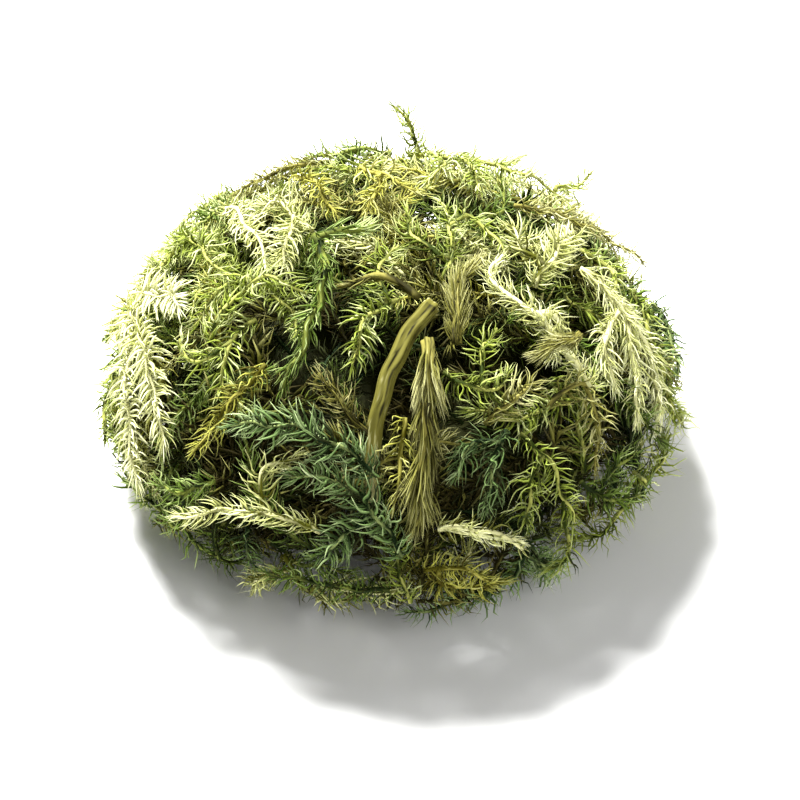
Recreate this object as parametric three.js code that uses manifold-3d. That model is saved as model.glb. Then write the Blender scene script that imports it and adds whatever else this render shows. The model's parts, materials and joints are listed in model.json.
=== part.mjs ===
// A clump of dried clubmoss: a loose heap of leafy shoots, domed on top and rounded below, that
// rests on the pressed undersides of its lowest shoots. Millimetres, +Z up, with the origin in
// the middle of the flat spot that it rests on. The front of the clump faces -Y.

import * as THREE from 'three';
import { mergeVertices } from 'three/addons/utils/BufferGeometryUtils.js';
import Module from 'manifold-3d';

const wasm = await Module();
wasm.setup();

// The form of the heap
const CLUMP_RADIUS = 49; // at its widest level
const SHOULDER_HEIGHT = 18; // of that level, where the crown meets the side
const CROWN_RISE = 26; // from the shoulder to the top
const CROWN_POWER = 3.2; // a higher power gives a flatter top and a steeper edge
const FOOT_RADIUS = 27; // of the underside, where the side begins

// One leafy shoot
const STEM_RADIUS = 0.85; // the stem with the leaf bases that sheathe it
const CUT_STEM_RADIUS = 1.35; // an old woody stem, cut across
const TIP_SHARE = 0.62; // of the stem's radius, at the last leaves
const STEM_SIDES = 3;
const CUT_STEM_SIDES = 6;
const LEAF_LENGTH = 4.3;
const LEAF_BASE = 0.85; // along the stem
const LEAF_BASE_RADIUS = 0.5;
const LEAF_TIP_RADIUS = 0.06;
const LEAST_LEAN = 21; // degrees between a leaf and its stem, to pass the next whorl
const WHORL_SPACING = 3.0;
const INNER_WHORL_SPACING = 4.6;
const BUD_LENGTH = 2.8; // of the closed leaves at the tip
const BUD_GAP = 1.2; // between the last whorl and the bud
const SIDE_SHOOT_BARE = 2.4; // stem hidden in the fork

// The heap's make-up
const POINT_SPACING = 2.4; // along a shoot's line
const STEM_CLEARANCE = 3.3; // between the lines of shoots of different nodes
const LEAF_GAP = 0.16; // between leaves, and between a leaf and another stem
const REST_HEIGHT = 0.3; // of a bottom shoot's line over the surface, less than its radius
const ROUNDS = 70; // of pushing shoots apart
const SEED = 20831;

// The dense middle, a smaller core covered in leaves that the inner shoots stand out of
const HEART_CENTRE = new THREE.Vector3(0, 0, 20.5);
const HEART_RADII = new THREE.Vector3(38, 37, 16.5); // to the tips of its leaves
const HEART_LEAF = 5.6;
const HEART_LEAF_RANGE = 1.3; // a leaf may be longer or shorter by this
const HEART_DETAIL = 5;
const HEART_LEAN = 0.045; // of a leaf's tip from over its base, as a share of the radii there
const HEART_ROUGHNESS = 0.5; // of the surface that they grow from

const FINEST = 0.02; // detail kept where shoots join

// Colours of dried clubmoss, from bleached straw-green to brown
const TONES = {
  bleached: 0xcfd59b,
  fresh: 0x98aa58,
  deep: 0x5d7538,
  teal: 0x55805a,
  golden: 0xb3a43c,
  olive: 0x8d8048,
  straw: 0xab9a4b,
};

// Shoots on the crown, as [name, tone, leaf spread in degrees, main line, side shoots]. A line's
// points are [x, y, lift], with lift over the crown's surface. A side shoot starts at a share of
// the main line and goes on through its own points.
const CROWN_FRONDS = [
  ['left_pale_fan', 'bleached', 50, [[-43, 3, 1], [-39, -12, 3], [-35.5, -27, 1]],
    [[0.12, [-42, -14, 1.5], [-40, -28, 0]], [0.05, [-38, -2, 2.5], [-32, -10, 3]]]],
  ['left_edge_sprig', 'fresh', 45, [[-45, -3, -2], [-44, -12, -2], [-42, -21, -3]],
    [[0.3, [-46.5, -10, -3], [-46.5, -15, -4]]]],
  ['low_left_star', 'deep', 50, [[-27, -34, -1.5], [-33, -33, 0], [-37, -30, 0.5]],
    [[0.4, [-33, -36, -1], [-35, -34, -1.5]]]],
  ['left_golden_sprig', 'golden', 50, [[-19, -23.5, 1], [-24.5, -27.5, 1], [-30, -30.5, 0.5]], []],
  ['left_mid_sprig', 'fresh', 45, [[-21, -14, -0.5], [-26, -20, 0], [-23, -27, -2]],
    [[0.3, [-30, -19, 2], [-33, -14, 2]]]],
  ['left_arch', 'fresh', 50, [[-28, -16, 0], [-21, -10.5, 3.5], [-12.5, -13.5, 2]],
    [[0.45, [-26, -8, 2], [-32, -12, 1]]]],
  ['front_left_point', 'bleached', 42, [[-10, -44.5, 0], [-20, -41, 1.5], [-33, -36.5, 1.5]],
    [[0.45, [-19, -37.5, 1.5], [-14, -35.5, -1]]]],
  ['teal_front', 'teal', 48, [[-2, -39.5, 1], [-12, -35, 3], [-24.5, -30.5, 2.5]], []],
  ['teal_front_low', 'teal', 48, [[2, -46.5, 0], [-6, -41, 2], [-15, -38, 0.5]],
    [[0.3, [-7, -44.5, 0], [-12, -44.5, -2]]]],
  ['front_rim_left', 'deep', 45, [[0, -48, -4], [-9, -47, -4], [-19, -44, -4]], []],
  ['front_right_golden', 'golden', 48, [[5, -47, -2], [10, -47, -0.5], [16, -46.5, -2]],
    [[0.2, [9, -46.5, -6], [17, -45, -6]]]],
  ['cut_stem_straw', 'straw', 40, [[6.5, -18, 4], [-1, -31, 2.5], [-3, -41, -2]],
    [[0.72, [-8, -31.5, 2.5], [-11, -27.5, 2.5]]]],
  ['brown_stub', 'olive', 42, [[4.6, -15.5, 1.5], [-1.5, -12, 2], [-8.5, -11, 0.5]], []],
  ['brown_pressed', 'olive', 17, [[5.2, -33, 4], [5, -38, 3], [4, -44.5, 1.5]],
    [[0, [5.6, -28.5, 4.5], [5, -24, 4]]]],
  ['golden_centre', 'golden', 50, [[1.5, -33.5, 1], [1, -38, 1], [-0.5, -42.5, 0.5]], []],
  ['olive_upright', 'olive', 24, [[10, -21, 0], [10.5, -12.5, 2], [13.5, -5.5, 2]], []],
  ['centre_green_fall', 'deep', 36, [[-12, -1, 2], [-10.5, -14, 3], [-17, -28, 1]],
    [[0.04, [-7, 0.5, 2], [-2.5, 3, 1.5]]]],
  ['centre_star', 'fresh', 50, [[1, -13, 0], [-4, -19, 1.5], [-5.5, -25.5, 0]],
    [[0.1, [-1.5, -6.5, 1.5], [1.5, -2, 1.5]]]],
  ['white_curl', 'bleached', 52, [[31.5, -21.5, 0.5], [21, -14.5, 3], [15.5, -11, 3], [17.5, -6, 3.5]],
    [[0.3, [26.5, -15, 2], [24.5, -20, 0]]]],
  ['right_pale_frond', 'bleached', 48, [[30, -2, 2], [37, -9, 3], [38.5, -22, 0.5]],
    [[0.3, [41, -9, 1], [42.5, -18, -1.5]], [0.45, [33.5, -14, 2.5], [35, -20, 1]]]],
  ['right_feather', 'bleached', 50, [[22.5, -9, 1.5], [26, -1, 2.5], [30, 8, 1]],
    [[0.3, [20, -1, 2], [18.5, 4.5, 1.5]]]],
  ['right_edge_green', 'fresh', 46, [[39, 3, 0], [42.5, -6, 0.5], [45.5, -14, -2]],
    [[0.65, [46.5, -12, -3], [47.5, -8, -4]]]],
  ['right_edge_teal', 'teal', 46, [[43.5, 8, -1], [46, 1, 0.5], [46.5, -5, -1]], []],
  ['right_low', 'deep', 48, [[29.5, -33.5, 0], [34, -33, -0.5], [39, -29, -1.5]],
    [[0.3, [36, -27, -2], [39, -23, -3]]]],
  ['right_arch', 'olive', 46, [[24, -28, 1], [30, -24.5, 4], [31.5, -32, 0.5]], []],
  ['right_tuft', 'olive', 22, [[28, -17.5, 2.5], [25.5, -20.5, 3.5], [21, -22.5, 2]], []],
  ['right_bright', 'fresh', 48, [[8, -26.5, 1], [13.5, -29, 2], [18, -25, 1]],
    [[0.5, [14, -23, 1], [16, -17, -0.5]]]],
  ['right_bud', 'olive', 30, [[14.5, -32.5, 0], [19, -29.5, 2.5], [22.5, -25.8, 1.5]], []],
  ['right_diagonal', 'fresh', 44, [[19.5, -32.5, 1], [24, -35, 2], [28, -38.5, 0]],
    [[0.75, [27, -41.5, -1.5], [24.5, -43.5, -3]], [0.4, [21, -38, 0.5], [21, -41, -1]]]],
  ['teal_patch', 'teal', 24, [[17, -33.5, 2.5], [15.5, -37.5, 3], [14, -42.5, 1.5]],
    [[0.2, [12, -35.5, 0.5], [9, -38.5, 0]]]],
  ['front_right_pale', 'bleached', 44, [[7, -44, 1], [13, -44, 2.5], [20, -43, 0.5]], []],
  ['top_fork', 'fresh', 50, [[9, -7.5, 1], [9.5, 0, 2.5], [8, 8.5, 1.5]],
    [[0.1, [4.5, -2, 2], [2, 6, 1.5]], [0.6, [14.5, 4.5, 2], [18.5, -2, 1]]]],
  ['top_pale_fork', 'golden', 38, [[-5, 19, 2], [-1, 14, 3], [4, 11.5, 2.5]],
    [[0.45, [-2.5, 9.5, 2.5], [-4, 6, 1]]]],
  ['top_back_bright', 'fresh', 46, [[3, 30, 0], [8.5, 23, 2], [6, 15.5, 1]],
    [[0.05, [4, 32, 4], [0.5, 33.5, 10]], [0.4, [13, 21, 2], [14.5, 14, 1]]]],
  ['back_bright_right', 'fresh', 46, [[11, 28, 0], [19.5, 22, 2], [28, 19, 0.5]],
    [[0.85, [30.5, 24.5, 4], [33.5, 26, 9.5]], [0.35, [18, 28, 1.5], [22, 30, 5]]]],
  ['right_back_olive', 'olive', 42, [[20, 12, 0.5], [31, 14, 1], [42, 14.5, 3]],
    [[0.3, [27, 19, -1], [34, 20, -1]]]],
  ['golden_back', 'golden', 50, [[-16, 20, 1], [-12, 13.5, 2], [-9, 6.5, 1]], []],
  ['back_left_olive', 'olive', 44, [[-10, 27, 0], [-18, 24, 1.5], [-26, 23, 0]], []],
  ['back_left_feather', 'fresh', 48, [[-34, 15, 0], [-31, 5, 1.5], [-26, -5, 1]],
    [[0.1, [-38, 8, 0.5], [-40, 15, 1]]]],
  ['back_left_pale', 'bleached', 40, [[-27, 15, 1], [-22.5, 4, 2.5], [-18.5, -7.5, 1.5]], []],
  ['left_fan', 'bleached', 50, [[-12.5, 3, 0.5], [-17, 8, 2], [-21.5, 13, 1]],
    [[0.3, [-16.5, 0, 2], [-17, -5, 0.5]]]],
  ['right_back_green', 'fresh', 46, [[31, 9, -2], [36.5, 4, -0.5], [35.5, -4, -1]], []],
  ['back_middle', 'deep', 46, [[0, 37, 0], [-9, 33, 1], [-19, 33, 0]],
    [[0.35, [-8, 39, 0], [-14, 41, -1]]]],
  ['back_centre', 'fresh', 46, [[-6, 45, -2], [4, 41, 0], [14, 35, 1]],
    [[0.4, [7, 45, -1.5], [15, 44, -2]]]],
  ['back_right_low', 'bleached', 46, [[17, 40, -0.5], [27, 34, 0.5], [36, 25, -1]],
    [[0.4, [31, 36, -1], [38, 30, -3]]]],
  ['back_left_low', 'fresh', 46, [[-21, 41, -1], [-29, 32, 0.5], [-36, 21, 0]],
    [[0.4, [-34, 33, -1], [-40, 26, -2]]]],
];

// Forked fronds round the side, made by rule
const SIDE_FRONDS = 9;
const SIDE_TONES = ['fresh', 'deep', 'bleached', 'olive', 'fresh', 'deep', 'bleached', 'teal', 'fresh'];
// Each as [turn in degrees, height, lift], from the frond's own turn
const SIDE_MAIN = [[-7, 18, -1.5], [1, 10, 0.5], [9, 2, -1.5]];
const SIDE_SHOOTS = [
  [0.12, [-12, 10, 0.5], [-16, 3.2, -0.5]],
  [0.3, [8, 12.5, 1], [19, 9, 0.5]],
];

// Shoots that the clump lies on: one across the middle and three round it
const FOOT_FRONDS = 3;
const FOOT_TONES = ['olive', 'fresh', 'deep'];
const REST_LINE = [[-13, 1.2, REST_HEIGHT + 0.3], [2, 0, REST_HEIGHT], [17, 1.8, REST_HEIGHT + 0.3]];
const REST_SHOOTS = [
  [0.2, [-8, 7, 1.6], [-2, 12, 2.2]],
  [0.8, [6, -7, 1.6], [0, -12, 2.2]],
];

// Inner shoots, which come out of the heart all round and lie over it
const INNER_SHOOTS = 26;
const INNER_SHARES = [0.62, 1.08, 1.15, 1.18]; // of the heart's radii, from a shoot's root to its tip
const INNER_SWEEP = 0.55; // round the heart, in radians
const INNER_TOP = 0.97; // height of the first root over the heart's middle, as a share of the heart's own
const INNER_BOTTOM = -0.75;
const GOLDEN_ANGLE = 137.508;

// Numbers from 0 to 1, the same every time
function makeDice(seed) {
  let state = seed;
  return () => {
    state = (state * 16807) % 2147483647;
    return state / 2147483647;
  };
}

const dice = makeDice(SEED);
const around = (size) => (dice() * 2 - 1) * size;
const radians = THREE.MathUtils.degToRad;

// Where a point [x, y, lift] of the crown lies
function onCrown([x, y, lift]) {
  const share = Math.min(1, Math.hypot(x, y) / CLUMP_RADIUS);
  const height = SHOULDER_HEIGHT + CROWN_RISE * (1 - share ** CROWN_POWER);
  return new THREE.Vector3(x, y, height + lift);
}

// Where a point [turn in degrees, height, lift] of the side lies
function onSide([turn, height, lift]) {
  const down = 1 - Math.min(height, SHOULDER_HEIGHT) / SHOULDER_HEIGHT;
  const radius = FOOT_RADIUS + (CLUMP_RADIUS - 2 - FOOT_RADIUS) * Math.sqrt(1 - down * down) + lift;
  return new THREE.Vector3(radius * Math.cos(radians(turn)), radius * Math.sin(radians(turn)), height);
}

const inSpace = ([x, y, z]) => new THREE.Vector3(x, y, z);

// The point at share t of the smooth line through some control points
function along(controls, t) {
  const last = controls.length - 1;
  return controls[0].map((_, axis) => controls.reduce((sum, point, i) => {
    let weight = 1;
    for (let j = 0; j <= last; j++) if (j !== i) weight *= (t * last - j) / (i - j);
    return sum + weight * point[axis];
  }, 0));
}

// A line's points in space, an even step apart
function evenPoints(controls, place) {
  const FINE = 40;
  const fine = Array.from({ length: FINE + 1 }, (_, i) => place(along(controls, i / FINE)));
  const reach = [0];
  for (let i = 1; i <= FINE; i++) reach.push(reach[i - 1] + fine[i].distanceTo(fine[i - 1]));
  const steps = Math.max(3, Math.round(reach[FINE] / POINT_SPACING));
  const points = [];
  for (let k = 0, i = 1; k <= steps; k++) {
    const wanted = (reach[FINE] * k) / steps;
    while (i < FINE && reach[i] < wanted) i++;
    points.push(fine[i - 1].clone().lerp(fine[i], (wanted - reach[i - 1]) / (reach[i] - reach[i - 1])));
  }
  return points;
}

// Every shoot of the clump: its rest line, how far it has been pushed, and what it grows from
const strands = [];

function addStrand(node, tone, spread, controls, place, more = {}) {
  const rest = evenPoints(controls, place);
  const strand = { node, tone, spread, rest, shift: rest.map(() => new THREE.Vector3()), ...more };
  strands.push(strand);
  return strand;
}

function addFrond(node, tone, spread, main, shoots, place, more = {}) {
  const stem = addStrand(node, tone, spread, main, place, more);
  for (const [from, ...points] of shoots) {
    const start = along(main, from);
    const habit = { pinned: more.pinned, parent: stem };
    const side = addStrand(node, tone, spread, [start, ...points], place, habit);
    const gaps = stem.rest.map((point) => point.distanceTo(side.rest[0]));
    side.joint = gaps.indexOf(Math.min(...gaps));
    side.rest[0].copy(stem.rest[side.joint]);
  }
}

for (const [name, tone, spread, main, shoots] of CROWN_FRONDS) {
  addFrond(name, tone, spread, main, shoots, onCrown, { cut: tone === 'straw' });
}

for (let k = 0; k < SIDE_FRONDS; k++) {
  const turn = (360 * (k + 0.35)) / SIDE_FRONDS + around(4);
  const lean = k % 2 ? -1 : 1;
  const turned = ([a, height, lift]) => [turn + lean * a, height + around(1), lift + around(0.6)];
  const shoots = SIDE_SHOOTS.map(([from, ...points]) => [from, ...points.map(turned)]);
  addFrond(`side_frond_${k + 1}`, SIDE_TONES[k], 46, SIDE_MAIN.map(turned), shoots, onSide);
}

addFrond('rest_shoot', 'fresh', 50, REST_LINE, REST_SHOOTS, inSpace, { pinned: true });
for (let k = 0; k < FOOT_FRONDS; k++) {
  const turn = 90 + (360 * k) / FOOT_FRONDS;
  const spot = (radius, a, z) => {
    const angle = radians(turn + a);
    return [radius * Math.cos(angle), radius * Math.sin(angle), z];
  };
  const main = [spot(26, -34, 1.4), spot(22, 0, REST_HEIGHT), spot(27, 34, 1.4)];
  const shoots = [[0.3, spot(17, -14, 1.2), spot(11, -8, 2)], [0.62, spot(28, 17, 1.6), spot(33, 22, 3)]];
  addFrond(`foot_frond_${k + 1}`, FOOT_TONES[k], 50, main, shoots, inSpace, { pinned: true });
}

// How far a point is from the heart's surface, in shares of its radius, under 1 inside
function heartShare(point) {
  return point.clone().sub(HEART_CENTRE).divide(HEART_RADII).length();
}

for (let k = 0; k < INNER_SHOOTS; k++) {
  const level = THREE.MathUtils.lerp(INNER_TOP, INNER_BOTTOM, (k + 0.5) / INNER_SHOOTS);
  const turn = radians(GOLDEN_ANGLE * k);
  const heading = around(Math.PI);
  const outward = new THREE.Vector3().setFromSphericalCoords(1, Math.acos(level), turn);
  const across = new THREE.Vector3(0, 0, 1).cross(outward).normalize();
  const ahead = across.clone().applyAxisAngle(outward, heading);
  const controls = INNER_SHARES.map((share, i) => {
    const sweep = (INNER_SWEEP * i) / (INNER_SHARES.length - 1);
    const way = outward.clone().addScaledVector(ahead, sweep).normalize();
    return way.multiply(HEART_RADII).multiplyScalar(share).add(HEART_CENTRE).toArray();
  });
  addStrand('inner_tangle', 'deep', 46, controls, inSpace, { inner: true });
}

// Pushes the shoots of different nodes apart, a little each round, and evens out each push
function untangle() {
  for (let round = 0; round < ROUNDS; round++) {
    for (const strand of strands) {
      strand.now = strand.rest.map((point, i) => point.clone().add(strand.shift[i]));
    }
    const pushes = strands.map((strand) => strand.rest.map(() => new THREE.Vector3()));
    strands.forEach((a, i) => {
      for (let j = i + 1; j < strands.length; j++) {
        const b = strands[j];
        if (a.node === b.node) continue;
        a.now.forEach((p, m) => b.now.forEach((q, n) => {
          const gap = p.distanceTo(q);
          if (gap >= STEM_CLEARANCE) return;
          const apart = p.clone().sub(q).multiplyScalar((0.5 * (STEM_CLEARANCE - gap)) / gap);
          pushes[i][m].add(apart);
          pushes[j][n].sub(apart);
        }));
      }
    });
    strands.forEach((strand, i) => {
      if (strand.pinned) return;
      strand.shift.forEach((shift, m) => {
        shift.add(pushes[i][m]);
        const share = heartShare(strand.now[m]);
        if (!strand.inner && share < 1.15) {
          shift.add(strand.now[m].clone().sub(HEART_CENTRE).multiplyScalar(0.5 * (1.15 - share)));
        }
        shift.z += Math.max(0, STEM_CLEARANCE / 2 - strand.now[m].z);
      });
      if (strand.parent) strand.shift[0].copy(strand.parent.shift[strand.joint]);
      if (strand.inner) strand.shift[0].set(0, 0, 0);
      const before = strand.shift.map((shift) => shift.clone());
      for (let m = 0; m < before.length; m++) {
        if (m === 0 && (strand.parent || strand.inner)) continue;
        const near = before[Math.max(0, m - 1)].clone().add(before[Math.min(before.length - 1, m + 1)]);
        strand.shift[m].multiplyScalar(0.5).addScaledVector(near, 0.25);
      }
    });
  }
  for (const strand of strands) {
    if (strand.parent) strand.shift[0].copy(strand.parent.shift[strand.joint]);
    strand.line = strand.rest.map((point, i) => point.clone().add(strand.shift[i]));
  }
}

untangle();

// What already fills the heap, as tapered rods in a grid of cells
const CELL = 6;
const cells = new Map();

function cellsOf(rod) {
  const keys = [];
  const low = rod.a.clone().min(rod.b).divideScalar(CELL).floor();
  const high = rod.a.clone().max(rod.b).divideScalar(CELL).floor();
  for (let x = low.x - 1; x <= high.x + 1; x++)
    for (let y = low.y - 1; y <= high.y + 1; y++)
      for (let z = low.z - 1; z <= high.z + 1; z++) keys.push(`${x},${y},${z}`);
  return keys;
}

function fill(rod) {
  const middle = rod.a.clone().add(rod.b).multiplyScalar(0.5 / CELL).floor();
  const key = `${middle.x},${middle.y},${middle.z}`;
  if (!cells.has(key)) cells.set(key, []);
  cells.get(key).push(rod);
}

// Whether a new leaf keeps its gap from everything, and with its outer part from its own stem and whorl
const LEAF_SHARES = [0.15, 0.4, 0.6, 0.8, 1];
const OUTER_SHARES = [0.6, 0.8, 1];

function isClear(rod) {
  const segment = new THREE.Line3();
  const near = new THREE.Vector3();
  for (const key of cellsOf(rod)) {
    for (const other of cells.get(key) ?? []) {
      const isOwn = other.strand === rod.strand && (other.stem || other.whorl === rod.whorl);
      segment.set(other.a, other.b);
      for (const t of isOwn ? OUTER_SHARES : LEAF_SHARES) {
        const point = rod.a.clone().lerp(rod.b, t);
        const share = segment.closestPointToPointParameter(point, true);
        segment.at(share, near);
        const radius = THREE.MathUtils.lerp(rod.ra, rod.rb, t);
        const otherRadius = THREE.MathUtils.lerp(other.ra, other.rb, share);
        if (near.distanceTo(point) < radius + otherRadius + LEAF_GAP) return false;
      }
    }
  }
  return heartShare(rod.b) > 1.05;
}

const stemRadius = (strand) => (strand.cut ? CUT_STEM_RADIUS : STEM_RADIUS);

for (const strand of strands) {
  for (let i = 1; i < strand.line.length; i++) {
    const radius = stemRadius(strand);
    fill({ a: strand.line[i - 1], b: strand.line[i], ra: radius, rb: radius, strand, stem: true });
  }
}

// A stem's rings: the places along it, and at each a point, a direction and a turning frame
function framesOf(strand, places, length) {
  const curve = new THREE.CatmullRomCurve3(strand.line);
  const frames = [];
  let normal = new THREE.Vector3(0, 0, 1);
  for (const place of places) {
    const share = Math.min(1, place / length);
    const tangent = curve.getTangentAt(share);
    normal = normal.clone().addScaledVector(tangent, -normal.dot(tangent)).normalize();
    frames.push({ point: curve.getPointAt(share), tangent, normal, side: tangent.clone().cross(normal) });
  }
  return frames;
}

// The tip of the leaf that grows from a facet, or null where no leaf has room
function leafTip(strand, whorl, base, frame, outward, share) {
  const length = LEAF_LENGTH * (0.8 + 0.25 * Math.sin(Math.PI * share)) * (1 + around(0.08));
  const spread = strand.spread * (1.1 - 0.45 * share ** 3) + around(5);
  if (base.z < LEAF_BASE_RADIUS) return null;
  for (const [tilt, swing, size] of [
    [0, 0, 1], [12, 0, 0.95], [-14, 0, 1], [0, 24, 0.95], [0, -24, 0.95], [18, 18, 0.85], [18, -18, 0.85],
    [-16, 0, 0.75], [25, 0, 0.7],
  ]) {
    const across = outward.clone().applyAxisAngle(frame.tangent, radians(swing + around(6)));
    const lean = radians(Math.max(LEAST_LEAN, spread + tilt));
    const direction = across.multiplyScalar(Math.sin(lean)).addScaledVector(frame.tangent, Math.cos(lean));
    const tip = base.clone().addScaledVector(direction, length * size);
    tip.z = Math.max(tip.z, LEAF_GAP);
    const rod = { a: base, b: tip, ra: LEAF_BASE_RADIUS, rb: LEAF_TIP_RADIUS, strand, whorl };
    if (isClear(rod)) {
      fill(rod);
      return tip;
    }
  }
  return null;
}

// A leafy stem as one closed mesh: a tube whose whorls carry a leaf on each facet
function leafyStem(strand) {
  const length = new THREE.CatmullRomCurve3(strand.line).getLength();
  const radius = stemRadius(strand);
  const spacing = strand.inner ? INNER_WHORL_SPACING : WHORL_SPACING;
  const first = strand.parent || strand.inner ? SIDE_SHOOT_BARE : 1.2;
  const end = strand.cut ? length : length - BUD_LENGTH;
  const places = [0];
  if (strand.cut) {
    for (let s = spacing; s < length; s += spacing) places.push(s);
  } else {
    for (let s = first; s + LEAF_BASE + BUD_GAP < end; s += spacing) places.push(s, s + LEAF_BASE);
  }
  places.push(end);
  const frames = framesOf(strand, places, length);
  const sides = strand.cut ? CUT_STEM_SIDES : STEM_SIDES;
  const vertices = [];
  const faces = [];
  places.forEach((place, k) => {
    const { point, normal, side } = frames[k];
    const whorl = Math.floor((k + 1) / 2);
    const size = radius * THREE.MathUtils.lerp(1, strand.cut ? 0.85 : TIP_SHARE, (place / length) ** 2);
    for (let j = 0; j < sides; j++) {
      const angle = ((j + 0.5 + 0.5 * (strand.cut ? 0 : whorl)) * 2 * Math.PI) / sides;
      const vertex = point.clone().addScaledVector(normal, size * Math.cos(angle));
      vertex.addScaledVector(side, size * Math.sin(angle));
      vertex.z = Math.max(vertex.z, 0);
      vertices.push(vertex);
    }
  });
  for (let j = 1; j < sides - 1; j++) faces.push([0, j + 1, j]);
  for (let k = 1; k < places.length; k++) {
    const isWhorl = !strand.cut && k % 2 === 0 && k < places.length - 1;
    for (let j = 0; j < sides; j++) {
      const low = (k - 1) * sides;
      const next = (j + 1) % sides;
      const corners = [low + j, low + next, low + sides + next, low + sides + j];
      const base = corners.reduce((sum, i) => sum.addScaledVector(vertices[i], 0.25), new THREE.Vector3());
      const outward = base.clone().sub(frames[k].point.clone().lerp(frames[k - 1].point, 0.5)).normalize();
      const tip = isWhorl ? leafTip(strand, k, base, frames[k], outward, places[k] / length) : null;
      if (tip) {
        vertices.push(tip);
        corners.forEach((corner, c) => faces.push([corner, corners[(c + 1) % 4], vertices.length - 1]));
      } else {
        faces.push([corners[0], corners[1], corners[3]], [corners[1], corners[2], corners[3]]);
      }
    }
  }
  const last = (places.length - 1) * sides;
  if (strand.cut) {
    for (let j = 1; j < sides - 1; j++) faces.push([last, last + j, last + j + 1]);
  } else {
    vertices.push(strand.line.at(-1).clone());
    for (let j = 0; j < sides; j++) faces.push([last + j, last + ((j + 1) % sides), vertices.length - 1]);
  }
  return solidOf(vertices.flatMap((vertex) => vertex.toArray()), faces.flat());
}

function solidOf(places, corners) {
  return new wasm.Manifold(new wasm.Mesh({
    numProp: 3,
    vertProperties: new Float32Array(places),
    triVerts: new Uint32Array(corners),
  }));
}

// The heart: a squashed ball, with every facet drawn out into a leaf that leans its own way
function heartSolid() {
  const ball = new THREE.IcosahedronGeometry(1, HEART_DETAIL);
  ball.deleteAttribute('normal');
  ball.deleteAttribute('uv');
  const merged = mergeVertices(ball, 1e-4);
  const places = merged.getAttribute('position');
  const corners = [...merged.index.array];
  const radii = HEART_RADII.clone().subScalar(HEART_LEAF);
  const outs = [];
  for (let i = 0; i < places.count; i++) outs.push(new THREE.Vector3().fromBufferAttribute(places, i));
  const rough = (out) => out.clone().multiply(radii).addScaledVector(out, around(HEART_ROUGHNESS));
  const points = outs.map(rough);
  const faces = [];
  for (let i = 0; i < corners.length; i += 3) {
    const facet = corners.slice(i, i + 3);
    const tip = new THREE.Vector3();
    for (const corner of facet) tip.addScaledVector(outs[corner], 1 / 3);
    const aside = new THREE.Vector3(around(1), around(1), around(1)).cross(tip);
    const normal = tip.clone().divide(radii).normalize();
    tip.add(aside.setLength(HEART_LEAN)).multiply(radii);
    tip.addScaledVector(normal, HEART_LEAF + around(HEART_LEAF_RANGE));
    points.push(tip);
    facet.forEach((corner, c) => faces.push([corner, facet[(c + 1) % 3], points.length - 1]));
  }
  for (const point of points) point.add(HEART_CENTRE);
  return solidOf(points.flatMap((point) => point.toArray()), faces.flat());
}

function geometryOf(solid) {
  const mesh = solid.getMesh();
  const geometry = new THREE.BufferGeometry();
  geometry.setAttribute('position', new THREE.BufferAttribute(mesh.vertProperties, 3));
  geometry.setIndex(new THREE.BufferAttribute(mesh.triVerts, 1));
  geometry.computeVertexNormals();
  return geometry;
}

const materials = Object.fromEntries(Object.entries(TONES).map(([tone, color]) => [
  tone, new THREE.MeshStandardMaterial({ name: tone, color, roughness: 0.85, metalness: 0 }),
]));

const clump = new THREE.Group();
clump.name = 'dried_clubmoss_clump';
for (const name of new Set(strands.map((strand) => strand.node))) {
  const members = strands.filter((strand) => strand.node === name);
  let solid = name === 'inner_tangle' ? heartSolid() : null;
  for (const strand of members) {
    const stem = leafyStem(strand);
    solid = solid ? solid.add(stem) : stem;
  }
  solid = solid.simplify(FINEST);
  const mesh = new THREE.Mesh(geometryOf(solid), materials[members[0].tone]);
  mesh.name = name;
  clump.add(mesh);
}

export default clump;
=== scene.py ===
import math

import bmesh
import bpy
import numpy as np
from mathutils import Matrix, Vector
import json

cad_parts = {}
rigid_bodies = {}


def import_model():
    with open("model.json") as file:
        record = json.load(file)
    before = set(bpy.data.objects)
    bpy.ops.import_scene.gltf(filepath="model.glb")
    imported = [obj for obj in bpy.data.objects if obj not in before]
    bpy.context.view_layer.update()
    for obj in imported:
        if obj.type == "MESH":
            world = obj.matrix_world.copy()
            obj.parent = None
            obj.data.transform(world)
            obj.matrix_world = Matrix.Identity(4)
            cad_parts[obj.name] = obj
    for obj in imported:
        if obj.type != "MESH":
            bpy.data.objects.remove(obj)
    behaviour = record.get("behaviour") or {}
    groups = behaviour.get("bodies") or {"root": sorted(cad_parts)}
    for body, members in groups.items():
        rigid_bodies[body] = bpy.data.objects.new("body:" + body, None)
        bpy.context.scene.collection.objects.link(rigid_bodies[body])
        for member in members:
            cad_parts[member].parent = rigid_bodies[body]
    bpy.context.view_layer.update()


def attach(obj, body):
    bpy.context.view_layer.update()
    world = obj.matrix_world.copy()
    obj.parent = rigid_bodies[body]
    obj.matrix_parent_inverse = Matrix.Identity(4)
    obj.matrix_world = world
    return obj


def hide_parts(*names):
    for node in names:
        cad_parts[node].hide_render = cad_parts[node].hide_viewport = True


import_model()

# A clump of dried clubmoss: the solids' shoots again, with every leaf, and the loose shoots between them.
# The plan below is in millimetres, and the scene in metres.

MM = 0.001

# The form of the heap

CLUMP_RADIUS = 49
EDGE_INSET = 2  # from the heap's edge to the stems nearest it
SHOULDER_HEIGHT = 18
CROWN_RISE = 26
CROWN_POWER = 3.2
FOOT_RADIUS = 27

# How shoots lie, as in the solids

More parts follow.
